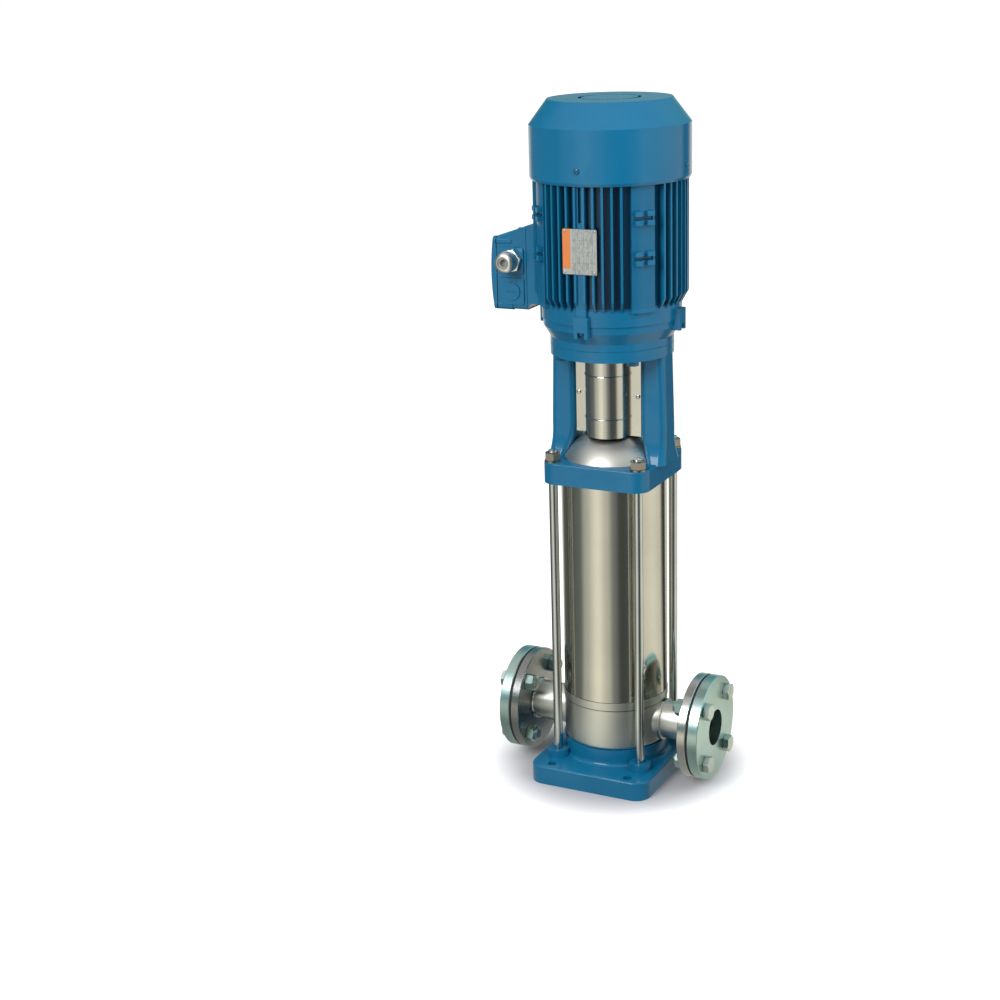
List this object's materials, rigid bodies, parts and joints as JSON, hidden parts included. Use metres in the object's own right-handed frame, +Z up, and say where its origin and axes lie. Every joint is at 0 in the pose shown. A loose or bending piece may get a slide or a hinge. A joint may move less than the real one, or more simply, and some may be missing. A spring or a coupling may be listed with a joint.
{
  "type": "vertical multistage pump",
  "caption": "Vertical in-line multistage centrifugal pump: ribbed base, stainless stage stack between tie rods, guarded coupling lantern and finned flange-mounted motor.",
  "frame": {"origin": "middle of the base's underside, on the shaft line", "axes": "+Z up the shaft; X along the two in-line branches, suction at -X and discharge at +X; -Y is the side of the motor's rating plate"},
  "size_m": [0.36, 0.248, 1.062],
  "materials": {
    "blue_enamel": "gloss enamel over cast iron and sheet steel",
    "stainless": "fine brushed to polished stainless steel",
    "plain_steel": "bright machined steel",
    "zinc_plate": "zinc plated, dull bright",
    "cast_coupling": "machined ductile iron",
    "black_rubber": "matt",
    "seal_carbon": "carbon graphite, stood in for by a matt dark plastic",
    "nickel_brass": "nickel-plated brass",
    "copper": "varnished copper wire, stood in for by brass",
    "black_plastic": "glass-filled nylon",
    "bare_aluminium": "satin"
  },
  "bodies": {
    "pump": {"base_plate": "blue_enamel", "lantern": "blue_enamel", "drive_end_shield": "blue_enamel", "rear_end_shield": "blue_enamel", "motor_frame": "blue_enamel", "fan_cover": "blue_enamel", "terminal_box": "blue_enamel", "terminal_box_lid": "blue_enamel", "fan_cover_screws": "blue_enamel", "shield_screws": "blue_enamel", "motor_mount_screws": "blue_enamel", "blanking_plug": "blue_enamel", "lower_casing": "stainless", "outer_sleeve": "stainless", "suction_flange": "stainless", "discharge_flange": "stainless", "inlet_spider": "stainless", "stage_casings": "stainless", "top_casing": "stainless", "pump_head": "stainless", "seal_gland": "stainless", "gland_screws": "stainless", "front_guard": "stainless", "rear_guard": "stainless", "guard_screws": "stainless", "stator_core": "plain_steel", "drive_end_bearing": "plain_steel", "fan_end_bearing": "plain_steel", "terminal_box_screws": "plain_steel", "tie_rods": "plain_steel", "tie_rod_washers": "plain_steel", "tie_rod_nuts": "plain_steel", "suction_counter_flange": "zinc_plate", "discharge_counter_flange": "zinc_plate", "flange_bolts": "zinc_plate", "flange_nuts": "zinc_plate", "sleeve_seal_rings": "black_rubber", "suction_gasket": "black_rubber", "discharge_gasket": "black_rubber", "terminal_box_gasket": "black_rubber", "seal_seat": "seal_carbon", "bottom_bush": "seal_carbon", "cable_gland": "nickel_brass", "gland_nut": "nickel_brass", "stator_windings": "copper", "terminal_block": "black_plastic", "rating_plate": "bare_aluminium"},
    "rotor": {"pump_shaft": "stainless", "impellers": "stainless", "seal_ring": "seal_carbon", "motor_shaft": "plain_steel", "front_coupling_half": "cast_coupling", "rear_coupling_half": "cast_coupling", "coupling_bolts": "plain_steel", "bearing_inner_rings": "plain_steel", "rotor_core": "plain_steel", "cooling_fan": "black_plastic"}
  },
  "joints": [
    {"name": "rotor_spin", "type": "hinge", "parent": "pump", "child": "rotor", "pos_m": [0, 0, 0.6], "axis": [0, 0, 1], "continuous": true}
  ]
}
